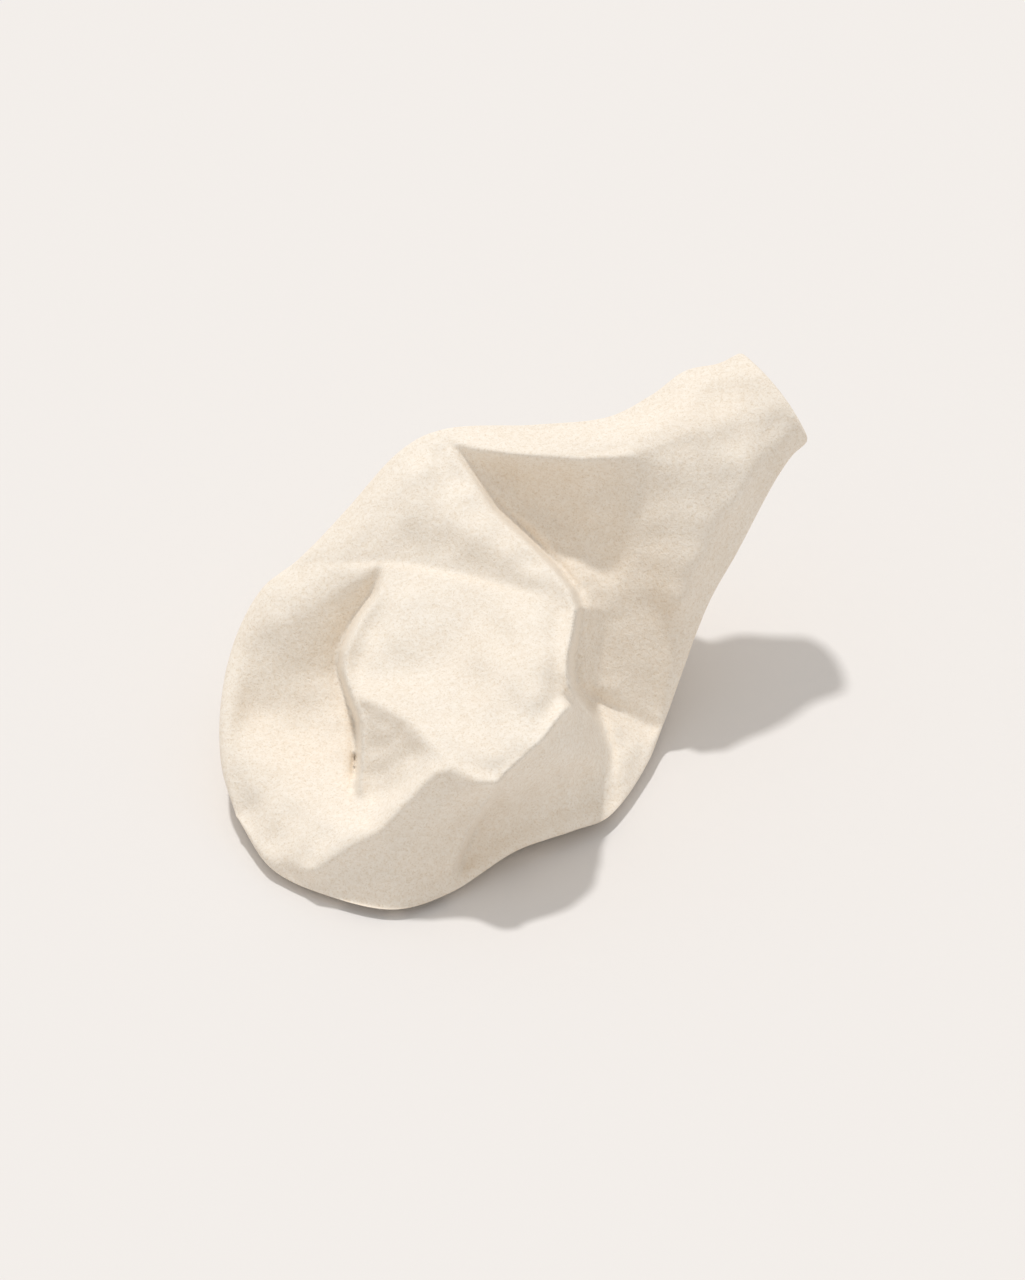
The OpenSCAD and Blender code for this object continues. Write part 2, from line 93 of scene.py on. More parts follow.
# Fold lines: x and y in pixels, then the height left and right of the way the line runs, as shares of
# the form height. The two differ where a fold hangs over a pocket. Where two more numbers follow, they
# are the slopes left and right of that place: the angles in degrees by which the surface falls toward
# the viewer. Spots have a single height.
middle_crest_shares = [[442, 437, 0.905, 0.905, 78, 10], [456, 450, 0.87, 0.89, 78, 10],
    [474, 477, 0.80, 0.86, 75, 10], [496, 509, 0.69, 0.82, 76, 10], [528, 540, 0.60, 0.785, 75, 10],
    [555, 567, 0.535, 0.75, 72, 10], [573, 590, 0.505, 0.72, 66, 12], [580, 609, 0.49, 0.70, 60, 16],
    [577, 631, 0.425, 0.68, 60, 16], [572, 654, 0.36, 0.66, 58, 16], [571, 672, 0.305, 0.642, 52, 22],
    [574, 688, 0.25, 0.615, 35, 45], [584, 702, 0.187, 0.48, 18, 75], [599, 721, 0.15, 0.30, 10, 80],
    [609, 749, 0.12, 0.17, 15, 80], [611, 776, 0.09, 0.105, 15, 80], [618, 800, 0.05, 0.05, 15, 70]]
crest_band_shares = [[470, 492, 0.852], [487, 522, 0.81], [512, 545, 0.783], [540, 572, 0.748]]
lobe_right_shares = [[567, 711, 0.53, 0.60, 78, 14], [545, 741, 0.50, 0.56, 85, 14],
    [508, 775, 0.43, 0.49, 85, 25], [491, 801, 0.28, 0.395, 80, 74], [473, 827, 0.15, 0.28, 80, 74],
    [459, 861, 0.07, 0.15, 80, 74], [454, 884, 0.04, 0.05, 80, 74]]
apron_crease_shares = [[592, 697, 0.186, 0.186], [615, 709, 0.144, 0.144], [632, 717, 0.115, 0.115],
    [655, 728, 0.07, 0.07]]
shoulder_crest_shares = [[446, 440, 0.905, 0.905], [456, 443, 0.91, 0.91], [485, 449, 0.915, 0.915],
    [515, 453, 0.915, 0.915], [582, 458, 0.912, 0.912], [620, 456, 0.918, 0.918]]
shoulder_end_shares = [[620, 456, 0.918, 0.918], [650, 449, 0.93, 0.93], [685, 434, 0.95, 0.95]]
lobe_top_shares = [[285, 570, 0.585, 0.585, 35, 30], [301, 563, 0.61, 0.61, 35, 30],
    [335, 565, 0.63, 0.635, 36, 28], [378, 563, 0.655, 0.665, 40, 14], [416, 566, 0.67, 0.68, 43, 10],
    [470, 578, 0.675, 0.685, 43, 10], [515, 589, 0.685, 0.69, 43, 10], [540, 596, 0.695, 0.695, 30, 10]]
lobe_left_shares = [[381, 568, 0.66, 0.645, 20, 68], [380, 580, 0.65, 0.61, 20, 68],
    [375, 594, 0.635, 0.565, 20, 66], [366, 607, 0.615, 0.525, 20, 64], [356, 621, 0.595, 0.475, 20, 62],
    [348, 637, 0.575, 0.43, 20, 60], [342, 652, 0.555, 0.39, 20, 58], [341, 670, 0.53, 0.34, 25, 54],
    [345, 686, 0.51, 0.305, 40, 48], [351, 703, 0.475, 0.275, 62, 40], [358, 721, 0.44, 0.245, 68, 30],
    [359, 748, 0.37, 0.225, 68, 20], [357, 772, 0.31, 0.21, 60, 15], [357, 790, 0.265, 0.215, 40, 15]]
lobe_lower_shares = [[368, 700, 0.505, 0.505], [380, 704, 0.51, 0.51], [411, 721, 0.515, 0.515],
    [434, 744, 0.505, 0.505], [452, 766, 0.49, 0.49], [479, 779, 0.49, 0.49], [498, 782, 0.485, 0.485]]
cheek_ridge_shares = [[452, 768, 0.49, 0.49], [436, 772, 0.475, 0.475], [422, 785, 0.435, 0.435],
    [411, 798, 0.395, 0.395], [380, 830, 0.285, 0.285], [348, 847, 0.205, 0.205], [317, 868, 0.117, 0.117]]
cleft_band_shares = [[372, 790, 0.257, 0.257], [393, 784, 0.31, 0.31], [425, 769, 0.427, 0.427]]
cleft_wall_shares = [[378, 722, 0.45], [373, 745, 0.365], [371, 770, 0.30]]
cleft_slope_shares = [[390, 732, 0.455], [390, 758, 0.372], [408, 752, 0.41]]
cleft_foot_shares = [[370, 812, 0.255]]
cheek_shares = [[252, 735, 0.23], [300, 745, 0.215], [300, 790, 0.195],
    [336, 765, 0.22], [336, 805, 0.205]]
cheek_low_shares = [[262, 785, 0.185], [285, 815, 0.15], [320, 838, 0.155]]
cheek_foot_shares = [[268, 838, 0.09], [300, 860, 0.10]]
dent_shares = [[300, 618, 0.51], [300, 650, 0.415], [325, 625, 0.485],
    [325, 665, 0.365]]
dent_top_shares = [[275, 605, 0.52], [300, 590, 0.575], [325, 582, 0.60]]
dent_wall_shares = [[350, 605, 0.53]]
dent_left_shares = [[255, 650, 0.40], [268, 690, 0.30]]
dent_foot_shares = [[305, 695, 0.295], [335, 700, 0.28]]
dent_heel_shares = [[300, 722, 0.235], [338, 730, 0.24]]
valley_shares = [[420, 512, 0.805]]
valley_low_shares = [[440, 545, 0.725], [468, 562, 0.705], [485, 555, 0.745]]
valley_top_shares = [[420, 470, 0.885]]
valley_left_shares = [[380, 500, 0.785], [360, 540, 0.69], [395, 545, 0.705]]
lobe_dish_shares = [[416, 605, 0.645], [410, 640, 0.59], [385, 665, 0.53],
    [450, 630, 0.61]]
lobe_ridge_shares = [[530, 625, 0.68], [492, 640, 0.63], [470, 694, 0.55],
    [540, 660, 0.66]]
lobe_front_shares = [[535, 695, 0.625], [500, 705, 0.575]]
lobe_rim_shares = [[528, 740, 0.56], [495, 750, 0.525], [450, 730, 0.525]]
hollow_shares = [[580, 724, 0.42], [584, 744, 0.33], [560, 744, 0.44]]
hollow_brow_shares = [[541, 760, 0.43], [520, 780, 0.37]]
hollow_wall_shares = [[587, 770, 0.18], [560, 775, 0.25], [530, 790, 0.23],
    [503, 804, 0.23]]
hollow_foot_shares = [[593, 795, 0.09], [560, 802, 0.125], [530, 814, 0.125],
    [500, 828, 0.13], [480, 850, 0.09]]
hollow_floor_shares = [[560, 822, 0.08], [530, 835, 0.085]]
pocket_top_shares = [[480, 465, 0.825], [500, 470, 0.80], [560, 474, 0.81],
    [600, 474, 0.83]]
pocket_shares = [[520, 500, 0.695], [560, 510, 0.675], [600, 515, 0.685]]
pocket_floor_shares = [[560, 548, 0.56], [600, 555, 0.565]]
pocket_foot_shares = [[600, 600, 0.462], [600, 640, 0.348], [600, 675, 0.248],
    [624, 620, 0.40], [624, 660, 0.287]]
pocket_wall_shares = [[640, 478, 0.837], [640, 505, 0.75], [642, 538, 0.645]]
pocket_slope_shares = [[642, 570, 0.55], [648, 610, 0.43], [648, 650, 0.315], [640, 690, 0.195]]
pocket_right_shares = [[690, 480, 0.848], [690, 520, 0.745], [690, 560, 0.64], [680, 595, 0.53]]
pocket_middle_shares = [[665, 475, 0.865], [665, 520, 0.735], [668, 560, 0.622]]
neck_root_shares = [[715, 470, 0.858], [722, 500, 0.776], [738, 480, 0.808]]
apron_shares = [[625, 745, 0.105], [622, 775, 0.09]]
neck_front_shares = [[740, 440, 0.89]]
neck_back_shares = [[720, 400, 0.95]]
neck_middle_shares = [[768, 398, 0.965]]
neck_rim_shares = [[782, 432, 0.88]]

# One row per fold line: its softness as a share of the reach, the slopes left and right of it for the
# places that name none, and its places
fold_shares = [
    [0.03, 78, 10, middle_crest_shares],
    [0.03, 66, 14, lobe_right_shares],
    [0.05, 60, 10, apron_crease_shares],
    [0.05, 0, 92, shoulder_crest_shares],
    [0.22, 25, 62, shoulder_end_shares],
    [0.03, 43, 10, lobe_top_shares],
    [0.03, 20, 62, lobe_left_shares],
    [0.05, 5, 70, lobe_lower_shares],
    [0.05, 77, 35, cheek_ridge_shares],
    [0.16, 64, 55, cleft_band_shares]]

# One row per group of spots between the folds: its softness as a share of the reach, the slope of the
# surface toward the viewer in degrees, and the spots
spot_groups_shares = [
    [0.12, 73, cleft_wall_shares],
    [0.12, 68, cleft_slope_shares],
    [0.12, 25, cleft_foot_shares],
    [0.19, 7, cheek_shares],
    [0.19, 27, cheek_low_shares],
    [0.16, 46, cheek_foot_shares],
    [0.16, 62, dent_shares],
    [0.16, 32, dent_top_shares],
    [0.12, 69, dent_wall_shares],
    [0.16, 50, dent_left_shares],
    [0.16, 50, dent_foot_shares],
    [0.16, 30, dent_heel_shares],
    [0.12, 10, crest_band_shares],
    [0.19, 42, valley_shares],
    [0.19, 52, valley_low_shares],
    [0.16, 27, valley_top_shares],
    [0.19, 46, valley_left_shares],
    [0.16, 28, lobe_dish_shares],
    [0.16, 10, lobe_ridge_shares],
    [0.16, 22, lobe_front_shares],
    [0.16, 3, lobe_rim_shares],
    [0.12, 80, hollow_shares],
    [0.12, 100, hollow_brow_shares],
    [0.12, 116, hollow_wall_shares],
    [0.12, 80, hollow_foot_shares],
    [0.12, 45, hollow_floor_shares],
    [0.12, 102, pocket_top_shares],
    [0.19, 84, pocket_shares],
    [0.19, 68, pocket_floor_shares],
    [0.19, 60, pocket_foot_shares],
    [0.22, 71, pocket_wall_shares],
    [0.19, 60, pocket_slope_shares],
    [0.22, 64, pocket_middle_shares],
    [0.22, 56, pocket_right_shares],
    [0.22, 54, neck_root_shares],
    [0.16, 5, apron_shares],
    [0.19, 36, neck_front_shares],
    [0.19, 5, neck_back_shares],
    [0.19, 25, neck_middle_shares],
    [0.16, 40, neck_rim_shares]]

# The outlines count as fold lines too. Stretches of them: side (0 left, 1 right), first and last rib, how
# far the front rises beside them as a share of the edge rise, and the slope of the surface there
outline_softness_share = 0.09
outline_stretches_shares = [
    [0, 0, 8, 1, 36],
    [0, 8, 14, 0.3, 0],
    [1, 0, 1, 1, 42],
    [1, 1, 2, 0.4, 62],
    [1, 2, 4, 0, 78],
    [1, 4, 7, 0, 95],
    [1, 7, 9, 0.3, 15],
    [1, 9, 14, 1, 62]]

# The slit in the cleft: the ends of its line in pixels, its depth and half its width in millimetres
slit_pixels = [[357, 757], [356, 774]]
slit_depth = 9
slit_half_width = 0.9

# The swell's exponent, and how far the inside stands in from the outlines: what it adds to the wall, as
# shares of the wall, the power by which that fades toward the mouth, and the most as a share of the width
back_roundness = 0.8
left_inset_share = 0.6
right_inset_share = 2
inset_fade_power = 4
most_inset_share = 0.3

# Marks of pressing fingers: lengths and height of the waves in millimetres
mark_seed = 7
mark_lengths = [9, 14, 22, 34]
marks_per_length = 6
mark_height = 0.25

# Middles of the felt pads as shares of the form width, their rounding in millimetres, and rings of the
# flat faces as shares of the reach. The edge wavers by a share of the reach in a few waves, each of which
# makes at least the first number of turns round the disc and fewer than the second.
pad_places_shares = {
    "felt_pad_left": [-0.285, -0.155], "felt_pad_front": [-0.17, -0.455],
    "felt_pad_right": [0.185, -0.16], "felt_pad_back": [0.11, 0.08]}
pad_seed = 11
pad_columns = 72
pad_side_steps = 8
pad_rounding = 0.5
pad_face_shares = [0.2, 0.5, 0.8, 0.95]
pad_waves = 5
pad_wave_counts = (3, 18)
pad_waver_share = 0.004

# Grids of the surfaces
rings_per_rib = 22
front_columns = 240
back_columns = 50
inner_rings = 20
inner_front_columns = 34
inner_back_columns = 22
inner_first_rib = 0.6
lip_steps = 6

# Edges of the folds in millimetres: the run of the drop into a pocket, for the outside and the inside,
# and the step, the margin and the softening of the lattice of heights. The kernel of the softening
# reaches that many softenings to either side.
fine_run = 0.3
coarse_run = 3
lattice_step = 0.5
lattice_margin = 8
softening = 0.7
kernel_softenings = 3

# Small values that keep a division or a comparison sound, and the faint pull of a line from far off
least_weight = 1e-12
far_weight = 1e-8
far_length = 1
nearer_by = 1e-9
spot_length = 0.001
least_width = 0.001
least_normal = 1e-9

lean_sin = math.sin(math.radians(sketch_lean))
lean_cos = math.cos(math.radians(sketch_lean))


def sketch_xy(pixels):
    """Pixels of the sheet to millimetres on the sketch plane, X right and Y up."""
    pixels = np.asarray(pixels, float)
    right, down = pixels[..., 0] - origin_pixels[0], pixels[..., 1] - origin_pixels[1]
    return right * mm_per_pixel, -down * mm_per_pixel


def toward_viewer(y, level):
    """Sketch height of a place at sketch y that lies at a level over the foot: (level - y cos) / sin."""
    return (level - y * lean_cos) / lean_sin


def in_room(x, y, height):
    """Sketch place to room place: X as it is, Y = y sin - h cos, Z = y cos + h sin."""
    x, y, height = np.broadcast_arrays(x, y, height)
    return np.stack([x, y * lean_sin - height * lean_cos, y * lean_cos + height * lean_sin], -1)


def ribs_of_the_sheet():
    """Rows of left x, y, height, right x, y, height, back depth and bow, in millimetres."""
    rows = np.array(rib_pixels_and_shares, float)
    left_x, left_y = sketch_xy(rows[:, 0:2])
    right_x, right_y = sketch_xy(rows[:, 3:5])
    return np.stack([left_x, left_y, toward_viewer(left_y, rows[:, 2] * form_height),
                     right_x, right_y, toward_viewer(right_y, rows[:, 5] * form_height),
                     rows[:, 6] * form_height, rows[:, 7] * rim_bow], 1)


ribs = ribs_of_the_sheet()


def ribs_at(stations):
    """Smooth cubic curve through the ribs, at numbers of ribs from the closed end.

    Between two ribs it takes their values and, as its slopes, half the step between each one's neighbours.
    """
    stations = np.asarray(stations, float)
    first = np.minimum(np.floor(stations).astype(int), last_rib - 1)
    padded = np.vstack([2 * ribs[0] - ribs[1], ribs, 2 * ribs[-1] - ribs[-2]])
    a, b, c, d = (padded[first + k] for k in range(4))
    t = (stations - first)[:, None]
    return (2 * b + (c - a) * t + (2 * a - 5 * b + 4 * c - d) * t**2 + (3 * b - a - 3 * c + d) * t**3) / 2


def height_slope(angle):
    """Slope of the sketch height for a surface that falls toward the viewer by an angle."""
    return -np.tan(np.radians(90 - sketch_lean - angle))


def fold_lines():
    """Rows of softness and line; spots and the outlines count as lines as well.

    A line has places of x, y, left and right height, left and right slope. A place without slopes of its
    own has those of its line.
    """
    rows = []
    for softness, slope_left, slope_right, table in fold_shares:
        x, y = sketch_xy([row[:2] for row in table])
        left, right = (toward_viewer(y, np.array([row[k] for row in table]) * form_height) for k in (2, 3))
        slopes = np.array([row[4:] or [slope_left, slope_right] for row in table], float)
        rows.append((softness, np.column_stack([x, y, left, right, slopes])))
    for softness, slope, spots in spot_groups_shares:
        for column, row, share in spots:
            x, y = sketch_xy([column, row])
            height = toward_viewer(y, share * form_height)
            rows.append((softness, np.array([[x, y, height, height, slope, slope]])))
    for side, first, last, rise, slope in outline_stretches_shares:
        x, y, height = ribs[first:last + 1, 3 * side:3 * side + 3].T
        height = height + edge_rise * rise
        slopes = np.full((len(x), 2), float(slope))
        rows.append((outline_softness_share, np.column_stack([x, y, height, height, slopes])))
    return rows


def fold_blend(x, y, run):
    """Height of the front: the mean of all fold lines, each weighted by (1 - d/reach)^2 / (d^2 + soft^2).

    At distance d, a line gives the height at its nearest point plus its slope times the way up the sheet,
    and takes its left or right values by the side, blended over the run. Where the right is the higher
    side, it rolls off in a quarter circle before it drops.
    """
    weights, heights = np.full(x.shape, least_weight), np.zeros(x.shape)
    for softness, line in fold_lines():
        if len(line) == 1:
            line = np.vstack([line, line + [spot_length, 0, 0, 0, 0, 0]])
        nearest, height = np.full(x.shape, np.inf), np.zeros(x.shape)
        for start, end in zip(line[:-1], line[1:]):
            way_x, way_y = end[:2] - start[:2]
            length = math.hypot(way_x, way_y)
            t = np.clip(((x - start[0]) * way_x + (y - start[1]) * way_y) / length**2, 0, 1)
            off_x, off_y = x - start[0] - t * way_x, y - start[1] - t * way_y
            distance = np.hypot(off_x, off_y)
            side = np.clip((way_x * off_y - way_y * off_x) / length / np.maximum(distance, run), -1, 1)
            left, right, slope_left, slope_right = (start[k] + (end[k] - start[k]) * t for k in (2, 3, 4, 5))
            roll = 1 - np.sqrt(1 - (1 - np.minimum(distance / fold_roll, 1)) ** 2)
            right = right - np.minimum(fold_roll, np.maximum(right - left, 0) / 2) * roll
            here = ((left + height_slope(slope_left) * off_y) * (1 + side)
                    + (right + height_slope(slope_right) * off_y) * (1 - side)) / 2
            closer = distance < nearest - nearer_by
            nearest, height = np.where(closer, distance, nearest), np.where(closer, here, height)
        weight = np.maximum(1 - nearest / fold_reach, 0) ** 2 / (nearest**2 + (softness * fold_reach) ** 2)
        weight += far_weight / (nearest + far_length)
        weights, heights = weights + weight, heights + weight * height
    return heights / weights


def slit(x, y):
    """Depth of the slit at a distance d from its line: slit depth times exp(-(d / half width)^2)."""
    (start_x, end_x), (start_y, end_y) = sketch_xy(slit_pixels)
    way_x, way_y = end_x - start_x, end_y - start_y
    t = np.clip(((x - start_x) * way_x + (y - start_y) * way_y) / (way_x**2 + way_y**2), 0, 1)
    distance = np.hypot(x - start_x - t * way_x, y - start_y - t * way_y)
    return slit_depth * np.exp(-(distance / slit_half_width) ** 2)


def softened_front():
    """The fold blend less the slit, on a square lattice, softened by weights exp(-(d / softening)^2 / 2).

    It comes back as a function of sketch x and y.
    """
    low_x, low_y = ribs[:, [0, 3]].min() - lattice_margin, ribs[:, [1, 4]].min() - lattice_margin
    count_x, count_y = (int((ribs[:, k].max() + lattice_margin - low) / lattice_step) + 2
                        for k, low in (([0, 3], low_x), ([1, 4], low_y)))
    grid_x, grid_y = np.meshgrid(low_x + np.arange(count_x) * lattice_step,
                                 low_y + np.arange(count_y) * lattice_step, indexing="ij")
    lattice = fold_blend(grid_x, grid_y, fine_run) - slit(grid_x, grid_y)
    span = int(math.ceil(kernel_softenings * softening / lattice_step))
    kernel = np.exp(-0.5 * (np.arange(-span, span + 1) * lattice_step / softening) ** 2)
    kernel /= kernel.sum()
    for axis in (0, 1):
        padding = [(span, span) if k == axis else (0, 0) for k in (0, 1)]
        padded = np.pad(lattice, padding, mode="edge")
        lattice = sum(share * np.take(padded, np.arange(k, k + lattice.shape[axis]), axis=axis)
                      for k, share in enumerate(kernel))

    def height_at(x, y):
        """Bilinear reading of the lattice."""
        u, v = (x - low_x) / lattice_step, (y - low_y) / lattice_step
        i = np.clip(np.floor(u).astype(int), 0, count_x - 2)
        j = np.clip(np.floor(v).astype(int), 0, count_y - 2)
        u, v = u - i, v - j
        return (lattice[i, j] * (1 - u) * (1 - v) + lattice[i + 1, j] * u * (1 - v)
                + lattice[i, j + 1] * (1 - u) * v + lattice[i + 1, j + 1] * u * v)
    return height_at


def column_angles(front, back):
    """Angles of the columns: from the left outline over the front to the right one, and back behind."""
    return np.concatenate([np.pi * np.arange(front) / front, np.pi + np.pi * np.arange(back) / back])


def edge_turn(distance, radius):
    """Quarter circle that leads from 0 on the outline to 1 at the radius."""
    return np.sqrt(np.maximum(1 - (1 - np.minimum(distance / radius, 1)) ** 2, 0))


def rib_heights(rib, share, front_at):
    """Sketch x, y, front and back height at a share of each rib.

    The rib bows toward the mouth by 4 s (1 - s) times its bow. Front: the straight rib plus what the
    folds stand off it, times the edge turn. Back: the rib minus its depth times (2 sqrt(s (1 - s))) to
    the power of the back's roundness.
    """
    run_x, run_y = rib[..., 3] - rib[..., 0], rib[..., 4] - rib[..., 1]
    width = np.maximum(np.hypot(run_x, run_y), least_width)
    between = rib[..., 2] + (rib[..., 5] - rib[..., 2]) * share
    bow = rib[..., 7] * 4 * share * (1 - share) / width
    x, y = rib[..., 0] + run_x * share - run_y * bow, rib[..., 1] + run_y * share + run_x * bow
    turn = edge_turn(np.minimum(share, 1 - share) * width, np.minimum(edge_radius, width / 2))
    swell = (2 * np.sqrt(np.maximum(share * (1 - share), 0))) ** back_roundness
    return x, y, between + (front_at(x, y) - between) * turn, between - rib[..., 6] * swell


def settled(points):
    """Flat foot: levels under it go to zero, with a parabola of the foot's radius at the turn."""
    level = points[..., 2]
    turned = (level + foot_radius) ** 2 / (4 * foot_radius)
    level = np.where(level > foot_radius, level, np.where(level < -foot_radius, 0, turned))
    return np.concatenate([points[..., :2], level[..., None]], -1)


def outer_skin():
    """Rings of the clay's outside, from just past the closed end to the rim, and its tip."""
    stations = np.arange(1, last_rib * rings_per_rib + 1) / rings_per_rib
    angle = column_angles(front_columns, back_columns)[None, :]
    x, y, front, back = rib_heights(ribs_at(stations)[:, None, :], (1 - np.cos(angle)) / 2, softened_front())
    rings = settled(in_room(x, y, np.where(angle <= np.pi, front, back)))
    return rings, settled(in_room(*ribs[0, :3]))


def inner_skin(glaze):
    """Rings of the inside, a glaze's thickness off the clay, from the closed end to the mouth.

    Front and back keep the wall inside the lowest front and the highest back of their neighbours, and
    the two meet on an outline that is inset from the outer one.
    """
    stations = np.linspace(inner_first_rib, last_rib, inner_rings)
    rib = ribs_at(stations)[:, None, :]
    width = np.hypot(rib[..., 3] - rib[..., 0], rib[..., 4] - rib[..., 1])
    fade = 1 - (stations[:, None] / last_rib) ** inset_fade_power
    inset_left, inset_right = (np.minimum(wall * (1 + share * fade) / width, most_inset_share)
                               for share in (left_inset_share, right_inset_share))
    angle = column_angles(inner_front_columns, inner_back_columns)[None, :]
    spread = (1 - np.cos(angle)) / 2
    share = inset_left + (1 - inset_left - inset_right) * spread
    x, y, front, back = rib_heights(rib, share, lambda u, v: fold_blend(u, v, coarse_run))
    ends = np.pad(front, ((1, 1), (0, 0)), mode="edge"), np.pad(back, ((1, 1), (0, 0)), mode="edge")
    near = [(k, j) for k in (0, 1, 2) for j in (-1, 0, 1)]
    lowest = np.min([np.roll(ends[0][k:k + inner_rings], j, 1) for k, j in near], axis=0)
    highest = np.max([np.roll(ends[1][k:k + inner_rings], j, 1) for k, j in near], axis=0)
    clear_width = width * (1 - inset_left - inset_right)
    turn = edge_turn(np.minimum(spread, 1 - spread) * clear_width, np.minimum(edge_radius, clear_width / 2))
    front, back = lowest - wall, np.maximum(highest + wall, toward_viewer(y, wall))
    half = (np.maximum((front - back) / 2, least_room) - glaze) * turn
    shift = glaze * (1 - turn) * np.where(spread < 0.5, 1, -1) / width
    points = in_room(x + (rib[..., 3] - rib[..., 0]) * shift, y + (rib[..., 4] - rib[..., 1]) * shift,
                     (front + back) / 2 + np.where(angle <= np.pi, half, -half))
    if glaze:
        step = points[1] - points[0]
        points[0] += step * glaze / np.linalg.norm(step, axis=-1, keepdims=True)
    return points


def finer_columns(rings):
    """The inner skin's columns read off at the outer skin's angles, so that the two join at the lip."""
    coarse = np.append(column_angles(inner_front_columns, inner_back_columns), 2 * np.pi)
    angle = column_angles(front_columns, back_columns)
    place = np.interp(angle, coarse, np.arange(len(coarse)))
    first = np.minimum(place.astype(int), len(coarse) - 2)
    part = (place - first)[None, :, None]
    closed = np.concatenate([rings, rings[:, :1]], axis=1)
    return closed[:, first] * (1 - part) + closed[:, first + 1] * part


def lip_rings(rim, inner):
    """Half round from the rim to the inner skin, bulged outward by half the wall."""
    run = ribs[-1, 3:5] - ribs[-1, 0:2]
    outward = in_room(-run[1], run[0], 0) / np.hypot(*run)
    angles = np.pi * np.arange(1, lip_steps) / lip_steps
    return np.array([rim + (inner - rim) * (1 - math.cos(a)) / 2 + outward * math.sin(a) * wall / 2
                     for a in angles])


def hand_marks(rings):
    """Slow waves of a few tenths of a millimetre, as pressing fingers leave them, along the normals."""
    along = np.gradient(rings, axis=0)
    around = (np.roll(rings, -1, 1) - np.roll(rings, 1, 1)) / 2
    normal = np.cross(around, along)
    normal /= np.maximum(np.linalg.norm(normal, axis=-1, keepdims=True), least_normal)
    draw = np.random.default_rng(mark_seed)
    wave = np.zeros(rings.shape[:2])
    for length in mark_lengths:
        for _ in range(marks_per_length):
            way = draw.normal(size=3)
            way *= 2 * np.pi / length / np.linalg.norm(way)
            wave += np.sin(rings @ way + draw.uniform(0, 2 * np.pi)) * length
    wave *= mark_height / np.abs(wave).max()
    level = np.clip(rings[..., 2] / foot_radius - 1, 0, 1)
    return rings + normal * (wave * level)[..., None]


def closed_mesh(name, first_tip, rings, last_tip):
    """A closed skin of rings between two tips, in millimetres over the foot, as a mesh in the row's frame."""
    count, columns = rings.shape[:2]
    points = np.concatenate([[first_tip], rings.reshape(-1, 3), [last_tip]])
    points = (points - [centre_x, centre_y, -pad_thickness]) / mm_per_metre
    ring, column = np.meshgrid(np.arange(count - 1), np.arange(columns), indexing="ij")
    a = 1 + ring * columns + column
    b = 1 + ring * columns + (column + 1) % columns
    quads = np.stack([a, b, b + columns, a + columns], -1).reshape(-1, 4)
    j = np.arange(columns)
    base = 1 + (count - 1) * columns
    fans = [np.stack([np.zeros_like(j), 1 + (j + 1) % columns, 1 + j], -1),
            np.stack([base + j, base + (j + 1) % columns, np.full_like(j, len(points) - 1)], -1)]
    mesh = bpy.data.meshes.new(name)
    mesh.from_pydata(points.tolist(), [], quads.tolist() + fans[0].tolist() + fans[1].tolist())
    mesh.polygons.foreach_set("use_smooth", np.ones(len(mesh.polygons), bool))
    mesh.update()
    piece = bpy.data.objects.new(name, mesh)
    bpy.context.scene.collection.objects.link(piece)
    return piece


def disc_rings(draw):
    """A felt disc as rings round its axis: rounded sides, flat faces, and an edge that wavers slightly."""
    angle = 2 * np.pi * np.arange(pad_columns) / pad_columns
    turns = np.pi * np.arange(pad_side_steps + 1) / pad_side_steps
    reach = pad_diameter / 2 - pad_rounding * (1 - np.sin(turns))
    height = pad_thickness * (1 - np.cos(turns)) / 2
    inward = np.array(pad_face_shares) * reach[0]
    reach = np.concatenate([inward, reach, inward[::-1]])
    height = np.concatenate([np.zeros(len(inward)), height, np.full(len(inward), pad_thickness)])
    waves = sum(np.sin(draw.integers(*pad_wave_counts) * angle + draw.uniform(0, 2 * np.pi))
                for _ in range(pad_waves))
    spread = reach[:, None] * (1 + waves[None, :] * pad_waver_share)
    return np.stack([spread * np.cos(angle), spread * np.sin(angle),
                     np.broadcast_to(height[:, None], spread.shape)], -1)


# The clay body and the glaze, and the middle of the outline box seen from above
rings, tip = outer_skin()
rings = hand_marks(rings)
clay_inside, glaze_inside = inner_skin(0), inner_skin(glaze_thickness)
inside = finer_columns(clay_inside)[::-1]
lip = lip_rings(rings[-1], inside[0])
edge = np.concatenate([rings.reshape(-1, 3), lip.reshape(-1, 3)])
centre_x, centre_y = ((edge[:, k].min() + edge[:, k].max()) / 2 for k in (0, 1))

clay_body = closed_mesh("clay_body", tip, np.concatenate([rings, lip, inside]), inside[-1].mean(0))
glaze_skin = closed_mesh("glaze_lining", clay_inside[0].mean(0),
                         np.concatenate([finer_columns(clay_inside), finer_columns(glaze_inside)[::-1]]),
                         glaze_inside[0].mean(0))

# Colours of the finishes as they show on screen, scales of patterns per metre, places of the colour
# stops as shares of a pattern's value, and depths of bumps in metres
white = (255, 255, 255)
black = (0, 0, 0)
clay_warm = (241, 231, 217)
clay_light = (246, 238, 226)
tone_scale = 22
tone_stop_shares = [0.3, 0.7]
grog_dark = (243, 239, 233)
grain_scale = 1500
grain_stop_shares = [0.36, 0.46]
grain_depth = 0.0002
# The darker crumb colour is painted shade in the hollows of the crumbly relief, on top of the clay's own tone
crumb_tone_and_crack_shade = (247, 243, 238)
crumb_scale = 620
crumb_stop_shares = [0.3, 0.62]
crumb_depth = 0.0005
pinhole_tone = (176, 160, 142)
pinhole_scale = 60
pinhole_stop_shares = [0.016, 0.03]
few_stop_shares = [0.2, 0.25]
glaze_deep = (206, 190, 168)
glaze_light = (224, 211, 192)
pool_scale = 40
pool_stop_shares = [0.3, 0.7]
pool_depth = 0.001
felt_deep = (190, 182, 170)
felt_light = (222, 216, 206)
fibre_scale = 2500
fibre_stop_shares = [0.35, 0.65]
fibre_depth = 0.0003


